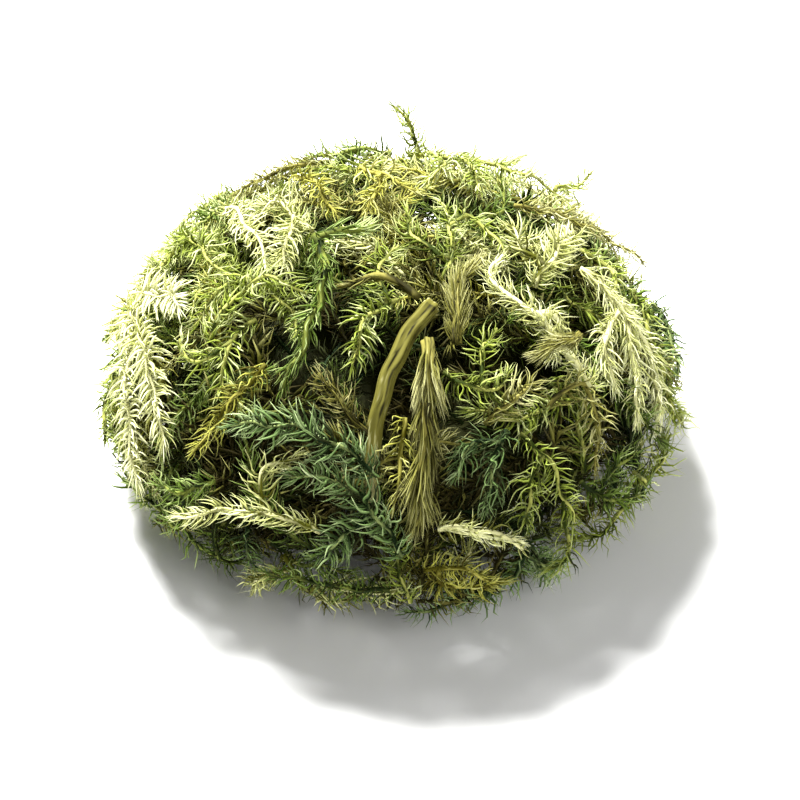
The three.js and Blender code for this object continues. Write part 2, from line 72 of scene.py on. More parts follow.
POINT_SPACING = 2.4
FINE_STEPS = 40
STEM_CLEARANCE = 3.3
REST_HEIGHT = 0.3
ROUNDS = 70
SEED = 20831
HEART_CENTRE = np.array([0, 0, 20.5])
HEART_RADII = np.array([38, 37, 16.5])
HEART_LEAF = 5.6
HEART_CLEARANCE = 1.15  # of the heart's radii, inside which a frond is pushed outward

# Each row is [node, tone, spread of the leaves in degrees, main shoot, side shoots]. A point is [x, y, lift
# off the crown], and a side shoot starts with its share of the way along the main one.
CROWN_FRONDS = [
  ['left_pale_fan', 'bleached', 50, [[-43, 3, 1], [-39, -12, 3], [-35.5, -27, 1]],
    [[0.12, [-42, -14, 1.5], [-40, -28, 0]], [0.05, [-38, -2, 2.5], [-32, -10, 3]]]],
  ['left_edge_sprig', 'fresh', 45, [[-45, -3, -2], [-44, -12, -2], [-42, -21, -3]],
    [[0.3, [-46.5, -10, -3], [-46.5, -15, -4]]]],
  ['low_left_star', 'deep', 50, [[-27, -34, -1.5], [-33, -33, 0], [-37, -30, 0.5]],
    [[0.4, [-33, -36, -1], [-35, -34, -1.5]]]],
  ['left_golden_sprig', 'golden', 50, [[-19, -23.5, 1], [-24.5, -27.5, 1], [-30, -30.5, 0.5]], []],
  ['left_mid_sprig', 'fresh', 45, [[-21, -14, -0.5], [-26, -20, 0], [-23, -27, -2]],
    [[0.3, [-30, -19, 2], [-33, -14, 2]]]],
  ['left_arch', 'fresh', 50, [[-28, -16, 0], [-21, -10.5, 3.5], [-12.5, -13.5, 2]],
    [[0.45, [-26, -8, 2], [-32, -12, 1]]]],
  ['front_left_point', 'bleached', 42, [[-10, -44.5, 0], [-20, -41, 1.5], [-33, -36.5, 1.5]],
    [[0.45, [-19, -37.5, 1.5], [-14, -35.5, -1]]]],
  ['teal_front', 'teal', 48, [[-2, -39.5, 1], [-12, -35, 3], [-24.5, -30.5, 2.5]], []],
  ['teal_front_low', 'teal', 48, [[2, -46.5, 0], [-6, -41, 2], [-15, -38, 0.5]],
    [[0.3, [-7, -44.5, 0], [-12, -44.5, -2]]]],
  ['front_rim_left', 'deep', 45, [[0, -48, -4], [-9, -47, -4], [-19, -44, -4]], []],
  ['front_right_golden', 'golden', 48, [[5, -47, -2], [10, -47, -0.5], [16, -46.5, -2]],
    [[0.2, [9, -46.5, -6], [17, -45, -6]]]],
  ['cut_stem_straw', 'straw', 40, [[6.5, -18, 4], [-1, -31, 2.5], [-3, -41, -2]],
    [[0.72, [-8, -31.5, 2.5], [-11, -27.5, 2.5]]]],
  ['brown_stub', 'olive', 42, [[4.6, -15.5, 1.5], [-1.5, -12, 2], [-8.5, -11, 0.5]], []],
  ['brown_pressed', 'olive', 17, [[5.2, -33, 4], [5, -38, 3], [4, -44.5, 1.5]],
    [[0, [5.6, -28.5, 4.5], [5, -24, 4]]]],
  ['golden_centre', 'golden', 50, [[1.5, -33.5, 1], [1, -38, 1], [-0.5, -42.5, 0.5]], []],
  ['olive_upright', 'olive', 24, [[10, -21, 0], [10.5, -12.5, 2], [13.5, -5.5, 2]], []],
  ['centre_green_fall', 'deep', 36, [[-12, -1, 2], [-10.5, -14, 3], [-17, -28, 1]],
    [[0.04, [-7, 0.5, 2], [-2.5, 3, 1.5]]]],
  ['centre_star', 'fresh', 50, [[1, -13, 0], [-4, -19, 1.5], [-5.5, -25.5, 0]],
    [[0.1, [-1.5, -6.5, 1.5], [1.5, -2, 1.5]]]],
  ['white_curl', 'bleached', 52, [[31.5, -21.5, 0.5], [21, -14.5, 3], [15.5, -11, 3], [17.5, -6, 3.5]],
    [[0.3, [26.5, -15, 2], [24.5, -20, 0]]]],
  ['right_pale_frond', 'bleached', 48, [[30, -2, 2], [37, -9, 3], [38.5, -22, 0.5]],
    [[0.3, [41, -9, 1], [42.5, -18, -1.5]], [0.45, [33.5, -14, 2.5], [35, -20, 1]]]],
  ['right_feather', 'bleached', 50, [[22.5, -9, 1.5], [26, -1, 2.5], [30, 8, 1]],
    [[0.3, [20, -1, 2], [18.5, 4.5, 1.5]]]],
  ['right_edge_green', 'fresh', 46, [[39, 3, 0], [42.5, -6, 0.5], [45.5, -14, -2]],
    [[0.65, [46.5, -12, -3], [47.5, -8, -4]]]],
  ['right_edge_teal', 'teal', 46, [[43.5, 8, -1], [46, 1, 0.5], [46.5, -5, -1]], []],
  ['right_low', 'deep', 48, [[29.5, -33.5, 0], [34, -33, -0.5], [39, -29, -1.5]],
    [[0.3, [36, -27, -2], [39, -23, -3]]]],
  ['right_arch', 'olive', 46, [[24, -28, 1], [30, -24.5, 4], [31.5, -32, 0.5]], []],
  ['right_tuft', 'olive', 22, [[28, -17.5, 2.5], [25.5, -20.5, 3.5], [21, -22.5, 2]], []],
  ['right_bright', 'fresh', 48, [[8, -26.5, 1], [13.5, -29, 2], [18, -25, 1]],
    [[0.5, [14, -23, 1], [16, -17, -0.5]]]],
  ['right_bud', 'olive', 30, [[14.5, -32.5, 0], [19, -29.5, 2.5], [22.5, -25.8, 1.5]], []],
  ['right_diagonal', 'fresh', 44, [[19.5, -32.5, 1], [24, -35, 2], [28, -38.5, 0]],
    [[0.75, [27, -41.5, -1.5], [24.5, -43.5, -3]], [0.4, [21, -38, 0.5], [21, -41, -1]]]],
  ['teal_patch', 'teal', 24, [[17, -33.5, 2.5], [15.5, -37.5, 3], [14, -42.5, 1.5]],
    [[0.2, [12, -35.5, 0.5], [9, -38.5, 0]]]],
  ['front_right_pale', 'bleached', 44, [[7, -44, 1], [13, -44, 2.5], [20, -43, 0.5]], []],
  ['top_fork', 'fresh', 50, [[9, -7.5, 1], [9.5, 0, 2.5], [8, 8.5, 1.5]],
    [[0.1, [4.5, -2, 2], [2, 6, 1.5]], [0.6, [14.5, 4.5, 2], [18.5, -2, 1]]]],
  ['top_pale_fork', 'golden', 38, [[-5, 19, 2], [-1, 14, 3], [4, 11.5, 2.5]],
    [[0.45, [-2.5, 9.5, 2.5], [-4, 6, 1]]]],
  ['top_back_bright', 'fresh', 46, [[3, 30, 0], [8.5, 23, 2], [6, 15.5, 1]],
    [[0.05, [4, 32, 4], [0.5, 33.5, 10]], [0.4, [13, 21, 2], [14.5, 14, 1]]]],
  ['back_bright_right', 'fresh', 46, [[11, 28, 0], [19.5, 22, 2], [28, 19, 0.5]],
    [[0.85, [30.5, 24.5, 4], [33.5, 26, 9.5]], [0.35, [18, 28, 1.5], [22, 30, 5]]]],
  ['right_back_olive', 'olive', 42, [[20, 12, 0.5], [31, 14, 1], [42, 14.5, 3]],
    [[0.3, [27, 19, -1], [34, 20, -1]]]],
  ['golden_back', 'golden', 50, [[-16, 20, 1], [-12, 13.5, 2], [-9, 6.5, 1]], []],
  ['back_left_olive', 'olive', 44, [[-10, 27, 0], [-18, 24, 1.5], [-26, 23, 0]], []],
  ['back_left_feather', 'fresh', 48, [[-34, 15, 0], [-31, 5, 1.5], [-26, -5, 1]],
    [[0.1, [-38, 8, 0.5], [-40, 15, 1]]]],
  ['back_left_pale', 'bleached', 40, [[-27, 15, 1], [-22.5, 4, 2.5], [-18.5, -7.5, 1.5]], []],
  ['left_fan', 'bleached', 50, [[-12.5, 3, 0.5], [-17, 8, 2], [-21.5, 13, 1]],
    [[0.3, [-16.5, 0, 2], [-17, -5, 0.5]]]],
  ['right_back_green', 'fresh', 46, [[31, 9, -2], [36.5, 4, -0.5], [35.5, -4, -1]], []],
  ['back_middle', 'deep', 46, [[0, 37, 0], [-9, 33, 1], [-19, 33, 0]],
    [[0.35, [-8, 39, 0], [-14, 41, -1]]]],
  ['back_centre', 'fresh', 46, [[-6, 45, -2], [4, 41, 0], [14, 35, 1]],
    [[0.4, [7, 45, -1.5], [15, 44, -2]]]],
  ['back_right_low', 'bleached', 46, [[17, 40, -0.5], [27, 34, 0.5], [36, 25, -1]],
    [[0.4, [31, 36, -1], [38, 30, -3]]]],
  ['back_left_low', 'fresh', 46, [[-21, 41, -1], [-29, 32, 0.5], [-36, 21, 0]],
    [[0.4, [-34, 33, -1], [-40, 26, -2]]]],
]

# Fronds round the lower side. A point is [degrees round the heap, height, lift off its side].
SIDE_FRONDS = 9
SIDE_START = 0.35  # of a frond's share of the way round
SIDE_STRAY = (4, 1, 0.6)  # at random, of a frond's turn and of each point's height and lift
SIDE_TONES = ['fresh', 'deep', 'bleached', 'olive', 'fresh', 'deep', 'bleached', 'teal', 'fresh']
SIDE_MAIN = [[-7, 18, -1.5], [1, 10, 0.5], [9, 2, -1.5]]
SIDE_SHOOTS = [
  [0.12, [-12, 10, 0.5], [-16, 3.2, -0.5]],
  [0.3, [8, 12.5, 1], [19, 9, 0.5]],
]

# Shoots under the heap. A point is [distance from the middle, degrees round it, height].
FOOT_FRONDS = 3
FOOT_TONES = ['olive', 'fresh', 'deep']
FOOT_START = 90
FOOT_MAIN = [[26, -34, 1.4], [22, 0, REST_HEIGHT], [27, 34, 1.4]]
FOOT_SHOOTS = [
  [0.3, [17, -14, 1.2], [11, -8, 2]],
  [0.62, [28, 17, 1.6], [33, 22, 3]],
]

# The shoot that the heap rests on. A point is [x, y, z].
REST_LINE = [[-13, 1.2, REST_HEIGHT + 0.3], [2, 0, REST_HEIGHT], [17, 1.8, REST_HEIGHT + 0.3]]
REST_SHOOTS = [
  [0.2, [-8, 7, 1.6], [-2, 12, 2.2]],
  [0.8, [6, -7, 1.6], [0, -12, 2.2]],
]

# Inner shoots, whose roots run round the heart from its back to its front
INNER_SHOOTS = 26
INNER_SHARES = [0.62, 1.08, 1.15, 1.18]  # of the heart's radii, from a shoot's root to its tip
INNER_SWEEP = 0.55
INNER_TOP = 0.97
INNER_BOTTOM = -0.75
GOLDEN_ANGLE = math.radians(137.508)


class Dice:
    """Numbers from 0 to 1, the same every time."""

    FACTOR = 16807
    MODULUS = 2147483647

    def __init__(self, seed):
        self.state = seed

    def roll(self):
        self.state = self.state * self.FACTOR % self.MODULUS
        return self.state / self.MODULUS

    def around(self, size):
        return (self.roll() * 2 - 1) * size

    def between(self, low, high):
        return low + (high - low) * self.roll()


dice = Dice(SEED)


def on_crown(point):
    """Where a point of the crown's plan lies."""
    x, y, lift = point
    share = min(1, math.hypot(x, y) / CLUMP_RADIUS)
    return np.array([x, y, SHOULDER_HEIGHT + CROWN_RISE * (1 - share**CROWN_POWER) + lift])


def on_side(point):
    """Where a point of the lower side's plan lies."""
    turn, height, lift = point
    down = 1 - min(height, SHOULDER_HEIGHT) / SHOULDER_HEIGHT
    radius = FOOT_RADIUS + (CLUMP_RADIUS - EDGE_INSET - FOOT_RADIUS) * math.sqrt(1 - down * down) + lift
    angle = math.radians(turn)
    return np.array([radius * math.cos(angle), radius * math.sin(angle), height])


def in_space(point):
    return np.array(point, float)


def along(controls, t):
    """The point at share t of the smooth line through some control points."""
    last = len(controls) - 1
    total = np.zeros(3)
    for i, point in enumerate(controls):
        weight = 1.0
        for j in range(last + 1):
            if j != i:
                weight *= (t * last - j) / (i - j)
        total += weight * np.array(point, float)
    return total


def reach_along(line):
    """How far along a line each of its points is."""
    return np.concatenate([[0], np.cumsum(np.linalg.norm(np.diff(line, axis=0), axis=1))])


def at_reach(line, reach, wanted):
    """The points of a line at the wanted distances along it."""
    return np.stack([np.interp(wanted, reach, line[:, axis]) for axis in range(3)], 1)


def even_points(controls, place):
    """The points of a shoot, an even step apart."""
    fine = np.array([place(along(controls, i / FINE_STEPS)) for i in range(FINE_STEPS + 1)])
    reach = reach_along(fine)
    steps = max(3, math.floor(reach[-1] / POINT_SPACING + 0.5))
    wanted = reach[-1] * np.arange(steps + 1) / steps
    return at_reach(fine, reach, wanted)


strands = []


def add_strand(node, tone, spread, controls, place, **more):
    rest = even_points(controls, place)
    strand = {
        "node": node, "tone": tone, "spread": spread, "rest": rest, "shift": np.zeros_like(rest), **more,
    }
    strands.append(strand)
    return strand


def add_frond(node, tone, spread, main, shoots, place, **more):
    stem = add_strand(node, tone, spread, main, place, **more)
    for start_share, *points in shoots:
        start = list(along(main, start_share))
        side = add_strand(
            node, tone, spread, [start, *points], place, pinned=more.get("pinned"), parent=stem
        )
        side["joint"] = int(np.argmin(np.linalg.norm(stem["rest"] - side["rest"][0], axis=1)))
        side["rest"][0] = stem["rest"][side["joint"]]


def heart_share(points):
    return np.linalg.norm((points - HEART_CENTRE) / HEART_RADII, axis=-1)


def over_heart(outward, heading, sweeps, shares):
    """The points of a line round the heart, through shares of its radii, which sets off at a heading."""
    across = np.cross([0, 0, 1], outward)
    across = across / np.linalg.norm(across)
    ahead = across * math.cos(heading) + np.cross(outward, across) * math.sin(heading)
    points = []
    for sweep, share in zip(sweeps, shares):
        way = outward + ahead * sweep
        points.append(list(way / np.linalg.norm(way) * HEART_RADII * share + HEART_CENTRE))
    return points


def place_strands():
    for name, tone, spread, main, shoots in CROWN_FRONDS:
        add_frond(name, tone, spread, main, shoots, on_crown, cut=tone == "straw")
    turn_stray, height_stray, lift_stray = SIDE_STRAY
    for k in range(SIDE_FRONDS):
        turn = 360 * (k + SIDE_START) / SIDE_FRONDS + dice.around(turn_stray)
        lean = -1 if k % 2 else 1

        def turned(point):
            a, height, lift = point
            return [turn + lean * a, height + dice.around(height_stray), lift + dice.around(lift_stray)]

        shoots = [[start, *[turned(point) for point in points]] for start, *points in SIDE_SHOOTS]
        main = [turned(point) for point in SIDE_MAIN]
        add_frond(f"side_frond_{k + 1}", SIDE_TONES[k], 46, main, shoots, on_side)
    add_frond("rest_shoot", "fresh", 50, REST_LINE, REST_SHOOTS, in_space, pinned=True)
    for k in range(FOOT_FRONDS):
        turn = FOOT_START + 360 * k / FOOT_FRONDS

        def spot(point):
            radius, a, z = point
            angle = math.radians(turn + a)
            return [radius * math.cos(angle), radius * math.sin(angle), z]

        main = [spot(point) for point in FOOT_MAIN]
        shoots = [[start, *[spot(point) for point in points]] for start, *points in FOOT_SHOOTS]
        add_frond(f"foot_frond_{k + 1}", FOOT_TONES[k], 50, main, shoots, in_space, pinned=True)
    sweeps = [INNER_SWEEP * i / (len(INNER_SHARES) - 1) for i in range(len(INNER_SHARES))]
    for k in range(INNER_SHOOTS):
        level = INNER_TOP + (INNER_BOTTOM - INNER_TOP) * (k + 0.5) / INNER_SHOOTS
        turn = GOLDEN_ANGLE * k
        ring = math.sqrt(1 - level * level)
        outward = np.array([ring * math.sin(turn), level, ring * math.cos(turn)])
        controls = over_heart(outward, dice.around(math.pi), sweeps, INNER_SHARES)
        # The inner shoots take the dark tone, as painted shade for the dark inside of the heap.
        add_strand("inner_tangle", "deep", 46, controls, in_space, inner=True)


def untangle():
    """Pushes the shoots of different nodes apart, a little each round, and evens out each push."""
    names = sorted({strand["node"] for strand in strands})
    owner = np.concatenate([[names.index(s["node"])] * len(s["rest"]) for s in strands])
    ends = np.cumsum([len(s["rest"]) for s in strands])
    for _ in range(ROUNDS):
        now = np.concatenate([s["rest"] + s["shift"] for s in strands])
        apart = now[:, None] - now[None]
        gap = np.linalg.norm(apart, axis=2)
        close = (gap < STEM_CLEARANCE) & (owner[:, None] != owner[None])
        size = np.where(close, 0.5 * (STEM_CLEARANCE - gap) / np.maximum(gap, 1e-9), 0)
        pushes = np.split((apart * size[:, :, None]).sum(1), ends[:-1])
        for strand, push, here in zip(strands, pushes, np.split(now, ends[:-1])):
            if strand.get("pinned"):
                continue
            shift = strand["shift"]
            shift += push
            if not strand.get("inner"):
                inside = np.maximum(0, HEART_CLEARANCE - heart_share(here))
                shift += 0.5 * inside[:, None] * (here - HEART_CENTRE)
            shift[:, 2] += np.maximum(0, STEM_CLEARANCE / 2 - here[:, 2])
            if "parent" in strand:
                shift[0] = strand["parent"]["shift"][strand["joint"]]
            if strand.get("inner"):
                shift[0] = 0
            held = 1 if "parent" in strand or strand.get("inner") else 0
            padded = np.concatenate([shift[:1], shift, shift[-1:]])
            smooth = 0.5 * shift + 0.25 * (padded[:-2] + padded[2:])
            strand["shift"][held:] = smooth[held:]
    for strand in strands:
        if "parent" in strand:
            strand["shift"][0] = strand["parent"]["shift"][strand["joint"]]
        strand["line"] = strand["rest"] + strand["shift"]


place_strands()
untangle()

# The loose shoots between them, thrown at random

LOOSE_SEED = 7411
loose_dice = Dice(LOOSE_SEED)

# Where the heap is open down to its dark inside: [x, y, radius]
HOLLOWS = [
    [-27, -33, 4], [-32, -27, 3.5], [-23, -40, 3.5],
    [30, -35.5, 3.5], [35.5, -28, 5], [37, -22, 3.5], [20.5, -37, 4], [20, -42, 3],
    [12.5, -20, 4], [18, -18, 3], [-6, -28, 4], [-13, -30.5, 3.5], [-2, -25, 3],
    [6.5, -38.5, 2.5], [6, -14, 2.5],
]
HOLLOW_DEPTH = 7

# How far out and how low loose shoots lie
CROWN_REACH = CLUMP_RADIUS - 5
FLOOR_REACH = 30
INNER_REACH = CLUMP_RADIUS - 6
LOWEST_SIDE = 1.4
LOWEST_INNER = 2
LOWEST_POINT = 1


def in_hollow(line):
    """Whether a shoot lies across a hollow, above its bottom."""
    depth = np.array([on_crown([x, y, 0])[2] for x, y, z in line]) - line[:, 2]
    shallow = line[depth < HOLLOW_DEPTH]
    return any(
        np.any(np.hypot(shallow[:, 0] - x, shallow[:, 1] - y) < radius) for x, y, radius in HOLLOWS
    )


def thrown(reach):
    """A random place within reach of the middle, and the ways along and across a shoot that lies there."""
    d = loose_dice
    radius = math.sqrt(d.between(0, reach**2))
    turn = d.between(0, 2 * math.pi)
    heading = d.between(0, 2 * math.pi)
    middle = np.array([radius * math.cos(turn), radius * math.sin(turn)])
    ahead = np.array([math.cos(heading), math.sin(heading)])
    aside = np.array([-ahead[1], ahead[0]])
    return middle, ahead, aside


def held_in(x, y, limit):
    """A place, pulled straight inward if it lies past a limit from the middle."""
    inward = min(1, limit / max(1e-6, math.hypot(x, y)))
    return x * inward, y * inward


def crown_line(lift_low, lift_high, tip_rise):
    """A shoot across the crown, curved, with its ends lower than its middle."""
    d = loose_dice
    middle, ahead, aside = thrown(CROWN_REACH)
    half = d.between(7, 12)
    lift = d.between(lift_low, lift_high)
    places = [middle - half * ahead, middle + d.around(4.5) * aside, middle + half * ahead]
    lifts = [lift - d.between(0, 3), lift, lift + d.between(-2, tip_rise)]
    limit = CLUMP_RADIUS - EDGE_INSET
    return [[*held_in(x, y, limit), up] for (x, y), up in zip(places, lifts)], on_crown


def side_line(lift_low, lift_high):
    """A shoot round the lower side, from a higher end to a lower one."""
    d = loose_dice
    turn = d.between(0, 360)
    height = d.between(3, SHOULDER_HEIGHT - 1)
    swing = d.around(13)
    drop = d.between(-9, 9)
    lift = d.between(lift_low, lift_high)
    first = min(SHOULDER_HEIGHT + 1, max(LOWEST_SIDE, height + drop))
    last = min(SHOULDER_HEIGHT + 1, max(LOWEST_SIDE, height - drop))
    return [
        [turn - swing, first, lift - 1],
        [turn + d.around(3), height, lift + 0.5],
        [turn + swing, last, lift - 0.5],
    ], on_side


def floor_line():
    """A shoot that lies under the heap."""
    d = loose_dice
    middle, ahead, aside = thrown(FLOOR_REACH)
    half = d.between(7, 11)
    height = d.between(1.2, 4.5)
    return [
        [*(middle - half * ahead), height + d.between(0, 1.5)],
        [*(middle + d.around(2.5) * aside), height],
        [*(middle + half * ahead), height + d.between(0, 2)],
    ], in_space


def inner_line():
    """A shoot that lies on the heart."""
    d = loose_dice
    level = d.around(1)
    turn = d.between(0, 2 * math.pi)
    ring = math.sqrt(1 - level * level)
    outward = np.array([ring * math.cos(turn), ring * math.sin(turn), level])
    share = d.between(0.96, 1.12)
    reach = d.between(0.18, 0.3)
    shares = [share - 0.05, share + d.around(0.03), share + d.around(0.05)]
    points = over_heart(outward, d.between(0, 2 * math.pi), [-reach, 0, reach], shares)
    return [[*held_in(x, y, INNER_REACH), max(z, LOWEST_INNER)] for x, y, z in points], in_space


# Each row is (piece, how many, tones, rule for a shoot's line, what the rule is given)
LOOSE = [
    ("loose_upper", 64, "fresh deep bleached fresh olive golden", crown_line, (-4.5, -1.5, 3)),
    ("loose_lower", 90, "deep fresh olive teal deep", crown_line, (-10, -5, 1)),
    ("loose_side", 84, "fresh deep bleached olive fresh golden", side_line, (-4.5, -1)),
    ("loose_floor", 22, "fresh olive deep bleached", floor_line, ()),
    # The inner loose shoots take only the darker tones, as painted shade for the dark inside of the heap.
    ("loose_inner", 190, "deep olive", inner_line, ()),
]
INNER_HABIT = {"leaf": 1.3, "keep": 0.6, "wild": 0.6}

loose = []
for group, count, tones, rule, given in LOOSE:
    habit = INNER_HABIT if group == "loose_inner" else {}
    tones = tones.split()
    for k in range(count):
        line = even_points(*rule(*given))
        while in_hollow(line):
            line = even_points(*rule(*given))
        line[:, 2] = np.maximum(line[:, 2], LOWEST_POINT)
        tone = tones[k % len(tones)]
        spread = loose_dice.between(34, 50)
        loose.append({
            "node": f"{group}_{tone}", "tone": tone, "spread": spread, "line": line, "habit": habit,
        })

# How one shoot grows

LEAF_LENGTH = 3.7
STEM_RADIUS = 0.42
CUT_STEM_RADIUS = 1.3
LINE_STEP = 0.9
CURVE_STEPS = 6
BARE_ROOT = 1.2  # of a side shoot, inside the fork
TIP_LENGTH = 3.5  # where the leaves close to a bud
WIGGLE = 0.35
WIGGLE_ROOM = 4  # from a root to where its shoot wiggles in full
CLOSED_SPREAD = 8
LEAST_SPREAD = 5
# Painted light and shade: leaves are painted paler at the back, where the light falls most, and darker in
# front, as painted shade.
PAINTED_BACK_LIGHT_FRONT_SHADE = 0.14  # how much paler the leaves are at the back, and darker in front, than in between
HEAP_MIDDLE = [0, 0, 12]
# Painted shade inside the heap begins this deep under its skin, and is full this much deeper still.
SKIN_DEPTH = 2.2
PAINTED_SHADE_DEPTH = 6.5  # under the skin, where all is dark

TEAL_FAN = {"leaf": 1.2, "open": 30, "hook": 0.5, "wild": 0.6, "flat": 0.45, "keep": 0.95}
# Shoots unlike the rest. Leaf and stem are shares of the usual size, open is degrees more than the solid's
# spread, hook and wild are how far a leaf bends to the tip and aside, flat is how thick the spray is for
# its width, keep the share of leaves still on, pale how bleached the stem is, and tint how pale the whole.
HABITS = {
    "left_pale_fan": {
        "leaf": 1.3, "open": 32, "hook": 0.42, "wild": 0.2, "flat": 0.3, "keep": 1, "tint": 0.36,
    },
    "left_arch": {
        "leaf": 1.2, "open": 34, "hook": 0.8, "wild": 0.4, "flat": 0.4, "keep": 0.8, "tint": 0.1,
    },
    "right_pale_frond": {
        "stem": 1.1, "leaf": 0.95, "open": 12, "hook": 0.6, "wild": 0.5, "flat": 0.3, "tint": 0.22,
    },
    "white_curl": {
        "stem": 1.4, "leaf": 0.9, "open": 14, "wild": 0.9, "flat": 0.5, "pale": 0.8, "tint": 0.16,
    },
    "front_right_pale": {"stem": 1.2, "leaf": 0.85, "wild": 0.7, "flat": 0.5, "pale": 0.5},
    "brown_pressed": {
        "stem": 2.2, "leaf": 1.6, "open": 0, "hook": 0.15, "wild": 0.3, "flat": 0.5, "keep": 1,
    },
    "olive_upright": {
        "stem": 1.8, "leaf": 1.2, "open": -6, "hook": 0.15, "wild": 0.5, "flat": 0.6, "keep": 1,
    },
    "brown_stub": {"stem": 1.7, "leaf": 0.7, "open": -12, "wild": 0.6, "keep": 0.5},
    "centre_green_fall": {"stem": 1.8, "leaf": 0.95, "open": 4, "hook": 0.4, "wild": 0.7, "keep": 0.8},
    "right_tuft": {"stem": 1.6, "leaf": 1.1, "open": 0, "hook": 0.15, "wild": 0.4},
    "right_feather": {"leaf": 1.1, "open": 30, "hook": 0.5, "wild": 0.25, "flat": 0.35, "keep": 0.8},
    "teal_front": {**TEAL_FAN, "tint": 0.12},
    "teal_front_low": {**TEAL_FAN, "tint": 0.1},
    "teal_patch": {"leaf": 0.9, "open": 36, "wild": 1.2, "flat": 0.8, "keep": 1},
}
# What a habit doesn't say is drawn between these
RANGES = {
    "leaf": (0.82, 1.12), "hook": (0.25, 0.75), "wild": (0.4, 1.0), "flat": (0.3, 0.8), "keep": (0.6, 1.0),
}
USUAL_OPEN = 30
OPEN_STRAY = 8
TINT_STRAY = 0.16

# A coat of short leaves over the thick pale stems
COATED = ("right_pale_frond", "white_curl", "front_right_pale")
COAT = {
    "stem": 1.2, "leaf": 0.62, "open": -10, "hook": 0.3, "wild": 1, "flat": 1, "pale": 0.4, "tint": 0.25,
}
# Fine leaves, pressed together on a ribbed stem, with the width and thickness of a leaf for its length
PRESSED = ("brown_pressed", "olive_upright", "right_tuft")
PRESSED_SIZES = {
    "Leaf width": 0.026, "Leaf thickness": 0.02, "Leaf spacing": 0.00006, "Stem sides": 24, "Stem ribs": 0.2,
}

shape_dice = Dice(5077)


def outward(points):
    """Away from the heap's middle, the side of a shoot that is seen."""
    away = points - HEAP_MIDDLE
    away[:, 2] *= 1.3
    return away / np.linalg.norm(away, axis=1, keepdims=True)


def inner_painted_shade(points):
    """From 0 at the heap's skin to 1 deep inside: painted shade, which darkens the leaves that lie deep in
    the heap.
    """
    radius = np.hypot(points[:, 0], points[:, 1])
    height = points[:, 2]
    share = np.minimum(1, radius / CLUMP_RADIUS)
    under_top = SHOULDER_HEIGHT + CROWN_RISE * (1 - share**CROWN_POWER) - height
    down = np.clip(1 - height / SHOULDER_HEIGHT, 0, 1)
    side = FOOT_RADIUS + (CLUMP_RADIUS - FOOT_RADIUS) * np.sqrt(1 - down**2)
    depth = np.minimum(np.minimum(under_top, side - radius), height + 3)
    return np.clip((depth - SKIN_DEPTH) / PAINTED_SHADE_DEPTH, 0, 1)


def wiggled(points, reach, size):
    """The line with the small kinks of a dried stem, which fade out at its root."""
    size = size * np.minimum(1, reach / WIGGLE_ROOM)
    for axis in range(3):
        wave, phase = shape_dice.between(7, 13), shape_dice.between(0, 2 * math.pi)
        points[:, axis] += size * np.sin(2 * math.pi * reach / wave + phase)
    return points


def shoot_numbers(strand, points, reach):
    """What the leaves and the stem need to know at each point of a shoot's line, sizes in metres."""
    habit = strand.get("habit") or HABITS.get(strand["node"], {})
    count, length = len(points), reach[-1]
    age = reach / length

    def habitual(key):
        return habit.get(key, shape_dice.between(*RANGES[key]))

    leaf = LEAF_LENGTH * habitual("leaf")
    leaf = leaf * (0.86 + 0.2 * np.sin(math.pi * age)) * (1 - 0.4 * age**6)
    radius = STEM_RADIUS * habit.get("stem", 1) * (1 - 0.55 * age**2)
    pale = np.full(count, float(habit.get("pale", 0)))
    if strand.get("cut"):
        leaf = leaf * 0
        radius = CUT_STEM_RADIUS * (1 - 0.3 * age**2)
        pale = np.maximum(age**3, reach < LINE_STEP)
    elif "parent" in strand or strand.get("inner"):
        leaf = np.where(reach < BARE_ROOT, 0, leaf)
    wander = np.interp(age, np.linspace(0, 1, 5), [shape_dice.around(OPEN_STRAY) for _ in range(5)])
    spread = strand["spread"] + habit.get("open", USUAL_OPEN + shape_dice.around(OPEN_STRAY)) + wander
    closing = np.clip((reach - length + TIP_LENGTH) / TIP_LENGTH, 0, 1) ** 1.5
    spread = spread + (CLOSED_SPREAD - spread) * closing
    even = {key: habitual(key) for key in ("hook", "wild", "flat", "keep")}
    # Deep inside the heap the paleness is lowered by painted shade.
    tint = shape_dice.around(TINT_STRAY) + 0.2 * (age - 0.5) - 0.55 * inner_painted_shade(points)
    # Painted light at the back and painted shade in front, then the habit's own paleness.
    tint = tint + PAINTED_BACK_LIGHT_FRONT_SHADE * np.clip((points[:, 1] + 15) / 35, -1, 1) + habit.get("tint", 0)
    return {
        "stem_radius": radius * MM,
        "leaf_length": leaf * MM,
        "spread": np.radians(np.maximum(spread, LEAST_SPREAD)),
        "stem_pale": pale,
        "tint": tint,
        **{key: np.full(count, value) for key, value in even.items()},
    }


# The leaves of this one's upper shoot point down to the fork, as one brush with the lower shoot's
REVERSED = "brown_pressed"


def line_mesh(name, members):
    """A mesh of edges along the shoots, which carries their numbers and directions to the node tree."""
    places, edges, numbers, forwards = [], [], [], []
    first = 0
    for strand in members:
        upside_down = strand["node"] == REVERSED and "parent" in strand
        points, reach = smooth_line(strand["line"][::-1] if upside_down else strand["line"], LINE_STEP)
        points = wiggled(points, reach, WIGGLE * (0.3 if strand.get("cut") else 1))
        forward = np.gradient(points, axis=0)
        forwards.append(forward / np.linalg.norm(forward, axis=1, keepdims=True))
        places.append(points)
        numbers.append(shoot_numbers(strand, points, reach))
        edges += [(first + i, first + i + 1) for i in range(len(points) - 1)]
        first += len(points)
    places = np.concatenate(places)
    mesh = bpy.data.meshes.new(name)
    mesh.from_pydata((places * MM).tolist(), edges, [])
    for key in numbers[0]:
        values = np.concatenate([row[key] for row in numbers])
        mesh.attributes.new(key, "FLOAT", "POINT").data.foreach_set("value", values)
    for key, values in {"forward": np.concatenate(forwards), "seen_side": outward(places)}.items():
        flat = values.astype(np.float32).ravel()
        mesh.attributes.new(key, "FLOAT_VECTOR", "POINT").data.foreach_set("vector", flat)
    return mesh


